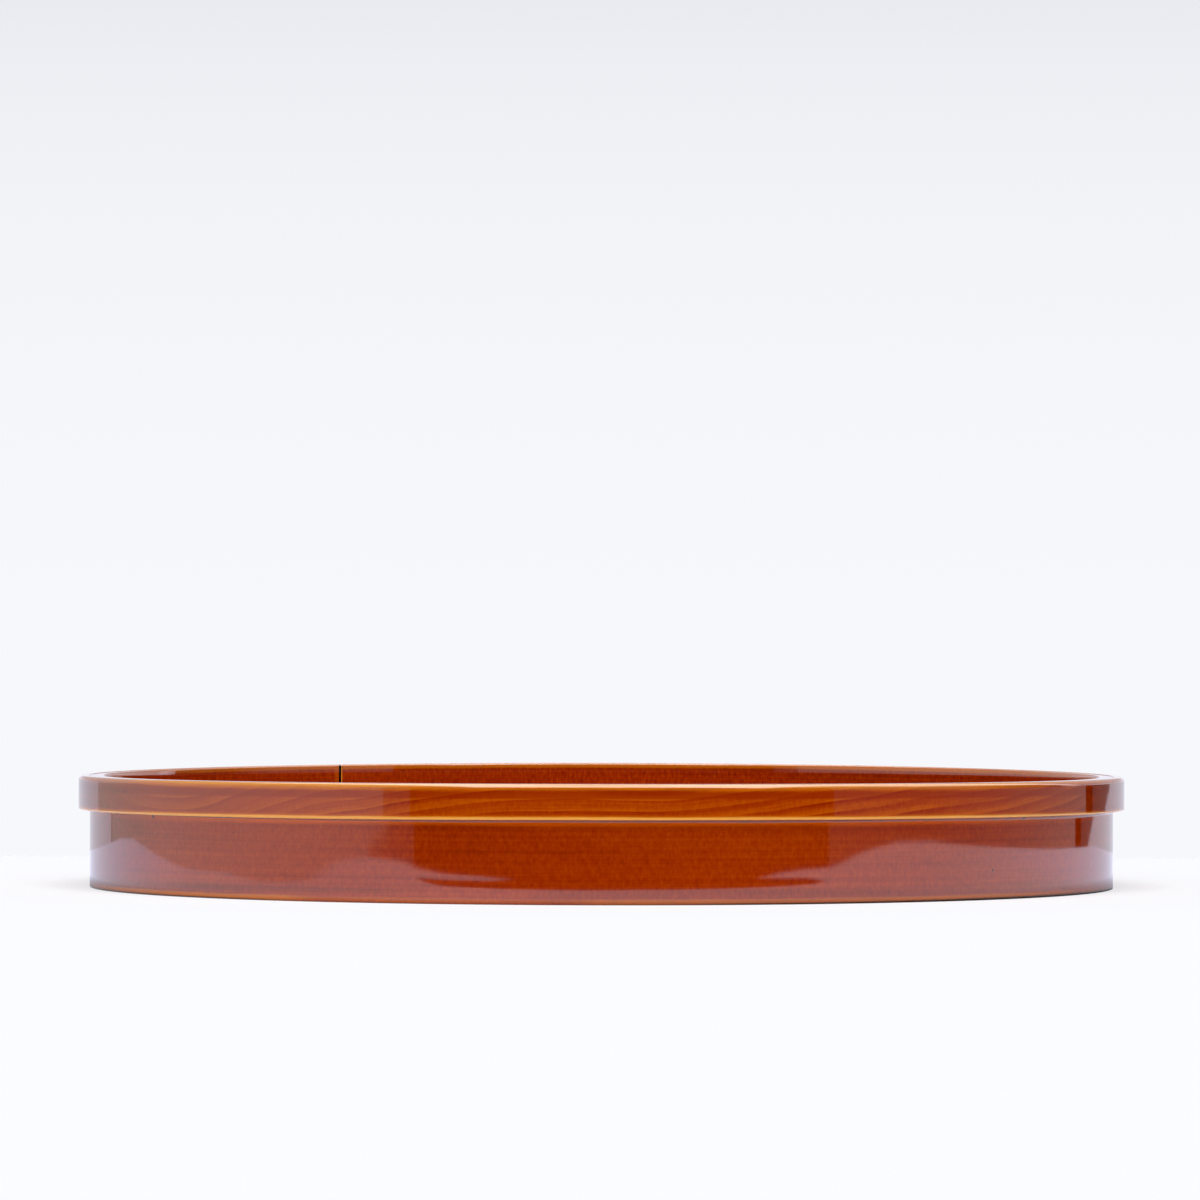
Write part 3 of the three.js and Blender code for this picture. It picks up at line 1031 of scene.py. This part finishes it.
def build_world():
    world = bpy.data.worlds.new("studio")
    bpy.context.scene.world = world
    world.use_nodes = True
    net = Net(world.node_tree)
    rays = net.add("ShaderNodeLightPath")
    glossy = rays.outputs["Is Glossy Ray"]
    x, y, z = net.split(net.add("ShaderNodeTexCoord").outputs["Generated"])
    azimuth = net.math("DEGREES", net.math("ARCTAN2", x, net.times(y, -1)))
    elevation = net.math("DEGREES", net.math("ARCSINE", z))
    sky = screens(net, azimuth, elevation)
    left_edge = net.range(elevation, -1.5, -1.42, -143.2, -145.0)
    seam = net.between(azimuth, left_edge, net.math("ADD", left_edge, 0.7))
    sky = net.towards(net.times(seam, net.below(elevation, -1.45)), sky, 0.35)
    # Higher up, the right is dark and the left grows lighter towards the back
    low = net.fall(elevation, -0.3, 1.2)
    above_low = net.rest(low)
    right = net.times(net.above(azimuth, 51), above_low)
    sky = net.towards(right, sky, net.range(azimuth, 84, 100, 0.26, 0.04))
    left = net.times(net.fall(azimuth, -140, -108), above_low)
    sky = net.towards(left, sky, 0.85)
    # The white backdrop behind, whose right edge leans and wavers
    wobble = net.noise(net.join(net.times(elevation, 9), 0, 0))
    right_edge = net.range(elevation, -1.70, -1.25, 140.3, 149.0, smooth=False)
    right_edge = net.fused(wobble, 2.4, net.minus(right_edge, 1.2))
    right_edge = net.towards(low, 121.0, right_edge)
    behind = net.rest(net.between(azimuth, left_edge, right_edge))
    off_middle = net.range(net.size(x), 0.08, 0.25, 0.47, 0.78)
    back_light = net.times(net.range(elevation, 3.0, 9.0, 1.0, off_middle), 0.95)
    back_light = net.fused(net.near(elevation, 2.4, 1.0, 1.2), 0.14, back_light)
    sky = net.towards(behind, sky, back_light)
    # The dim ceiling and the lamp
    high = net.range(elevation, 24, 32)
    ceiling = net.fused(net.times(glossy, net.range(y, 0.1, 0.5)), 0.25, 0.2)
    sky = net.towards(high, sky, ceiling)
    lamp, behind_lamp = lamp_shapes(net, x, y, z, glossy)
    sky = net.fused(lamp, LAMP, sky)
    sky = net.fused(behind_lamp, LIGHT_BEHIND, sky)
    tint = net.mix(behind, SCREENS_SEEN_IN_GLOSS, BACKDROP_SEEN_IN_GLOSS)
    tint = net.mix(high, tint, LAMP_TINT)
    light = net.feed(net.add("ShaderNodeBackground"), net.shaded(tint, sky))
    # What the camera sees behind the tray
    backdrop = net.ramp(net.math("DIVIDE", elevation, BACKDROP_HEIGHT), BACKDROP)
    seen = net.feed(net.add("ShaderNodeBackground"), backdrop)
    net.show("World", net.mix_shader(rays.outputs["Is Camera Ray"], light, seen))


def build_floor():
    """The white table. Past its back edge, and from underneath, the camera sees the backdrop instead,
    and the part that the tray hides lets light up to its underside."""
    reach, hair = 30, 0.01 * MM
    bpy.ops.mesh.primitive_plane_add(size=2 * reach, location=(0, 0, -hair))
    floor = bpy.context.object
    floor.name = "floor"
    matte = {"Roughness": 1, "Specular IOR Level": 0, "Base Color": (*TABLE_WHITE, 1)}
    made, net, shader = new_material("table_white", matte)
    x, y, z = net.place()
    camera = net.add("ShaderNodeLightPath").outputs["Is Camera Ray"]
    from_below = net.add("ShaderNodeNewGeometry").outputs["Backfacing"]
    past_edge = net.range(y, TABLE_BACK - TABLE_BACK_BLUR, TABLE_BACK + TABLE_BACK_BLUR)
    clear = net.times(camera, net.most(from_below, past_edge))
    seen_from_above = net.times(camera, net.rest(from_below))
    hidden = net.times(net.below(net.length(x, y), HIDDEN_RADIUS), net.rest(seen_from_above))
    # To the camera the shadow is lighter, as light from all round the room fills it
    bright = net.feed(net.add("ShaderNodeEmission"), (*TABLE_SEEN_WHITE, 1))
    filled = net.mix_shader(net.times(camera, SHADOW_FILL), shader.outputs[0], bright)
    net.show("Material", net.see_through(filled, net.most(clear, hidden)))
    floor.data.materials.append(made)
    floor.visible_glossy = False


def blurred_outline(edge):
    """Outlines just outside and inside the edge, by how far that is out of focus there."""
    line = [Vector((x, y)) for x, y, blur in edge]
    outer, inner = [], []
    for i, (x, y, blur) in enumerate(edge):
        before = (line[i] - line[i - 1]).normalized()
        after = (line[(i + 1) % len(line)] - line[i]).normalized()
        out = Vector((before.y + after.y, -before.x - after.x))
        out = out / max(out.length, 1.2) * blur * MM
        outer.append((x + out.x, y + out.y, 0))
        inner.append((x - out.x, y - out.y, 0))
    return outer, inner


def reflection_material():
    """The table's glow, with the tray's shadow painted on it: darker close round the tray, most beside
    its two ends.
    """
    made = bpy.data.materials.new("table_reflection")
    made.use_nodes = True
    made.cycles.emission_sampling = "NONE"
    net = Net(made.node_tree)
    x, y, z = net.place()
    radius = net.length(x, y)
    width = net.range(x, -0.1, 0.1, 38 * MM, 57 * MM)
    from_foot = net.math("DIVIDE", net.minus(radius, HOOP_OUTER), width)
    ends = net.range(from_foot, 0.0, 1.0, 0.62, 0.0, smooth=False)
    ends = net.times(ends, net.range(y, -0.065, -0.03))
    touch = net.range(x, 0.0, 0.08, 0.68, 0.96)
    contact = net.range(radius, HOOP_OUTER + 0.2 * MM, HOOP_OUTER + 2.2 * MM, touch, 0.0)
    around_it = net.range(radius, HOOP_OUTER + 4 * MM, HOOP_OUTER + 42 * MM, 0.6, 0.0, smooth=False)
    gain = net.times(net.rest(net.most(ends, contact, around_it)), net.range(y, -0.25, 0.0, 0.97, 1.14))
    behind = net.range(y, -0.08, 0.08)
    colour = net.mix(behind, TABLE_SEEN_IN_GLOSS, TABLE_SEEN_IN_GLOSS_BEHIND)
    glow = net.feed(net.add("ShaderNodeEmission"), net.shaded(colour, gain))
    inside = net.range(net.add("ShaderNodeAttribute", attribute_name="inside").outputs["Fac"], 0, 1)
    net.show("Material", net.see_through(glow, net.rest(inside)))
    return made


def build_table_reflection():
    """The table as the lacquer reflects it, which ends at its edges."""
    outer, inner = blurred_outline(TABLE_EDGE)
    count = len(outer)
    faces = [tuple(range(count, 2 * count))]
    faces += [(i, (i + 1) % count, count + (i + 1) % count, count + i) for i in range(count)]
    mesh = bpy.data.meshes.new("table_reflected")
    mesh.from_pydata(outer + inner, [], faces)
    layer = mesh.attributes.new("inside", "FLOAT", "POINT")
    layer.data.foreach_set("value", [0.0] * count + [1.0] * count)
    top = new_object("table_reflected", mesh)
    top.data.materials.append(reflection_material())
    top.visible_camera = False
    top.visible_diffuse = False
    top.visible_transmission = False
    top.visible_shadow = False


def build_camera():
    data = bpy.data.cameras.new("camera")
    data.sensor_width = CAMERA_SENSOR
    data.lens = CAMERA_LENS
    data.clip_end = 200
    made = new_object("camera", data)
    right = Vector((1, 0, 0))
    up = Vector((0, math.sin(CAMERA_PITCH), math.cos(CAMERA_PITCH)))
    back = -Vector((0, math.cos(CAMERA_PITCH), -math.sin(CAMERA_PITCH)))
    turned_right = right * math.cos(CAMERA_ROLL) + up * math.sin(CAMERA_ROLL)
    turned_up = up * math.cos(CAMERA_ROLL) - right * math.sin(CAMERA_ROLL)
    axes = Matrix((turned_right, turned_up, back)).transposed().to_4x4()
    made.matrix_world = Matrix.Translation(CAMERA_PLACE) @ axes
    bpy.context.scene.camera = made


def dress(made, material, slot, *nodes):
    made.data.materials.clear()
    made.data.materials.append(material)
    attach(made, "root")
    if nodes:
        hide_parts(*nodes)


build_camera()
build_world()
build_floor()
build_table_reflection()

hoop_shape = hoop_ring()
hoop = hoop_shape.build("bent_hoop")
cut_slits(hoop)
hoop_shape.mark(hoop)
settle(hoop)
dress(hoop, hoop_material(hoop_shape), "lacquered_hoop", "side_hoop")

band_shape = band_ring()
band = band_shape.build("bent_rim_band")
band_shape.mark(band)
lift_foot(band)
settle(band)
dress(band, band_material(band_shape), "lacquered_band", "rim_band")

bark = bark_lacing()
settle(bark)
dress(bark, bark_material(), "bark", "bark_lacing")

pooled = bead_material()
upper_bead = rim_bead()
settle(upper_bead)
dress(upper_bead, pooled, "lacquered_hoop")
dress(floor_bead(), pooled, "lacquered_panel")
dress(joint_glue(), pooled, "lacquered_panel")

woods = {"base_board": panel_material(), "joint_pin": bamboo_material()}
for name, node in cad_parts.items():
    for kind, wood in woods.items():
        if name.startswith(kind):
            node.data.materials.clear()
            node.data.materials.append(wood)

bpy.context.scene.view_settings.view_transform = "Standard"
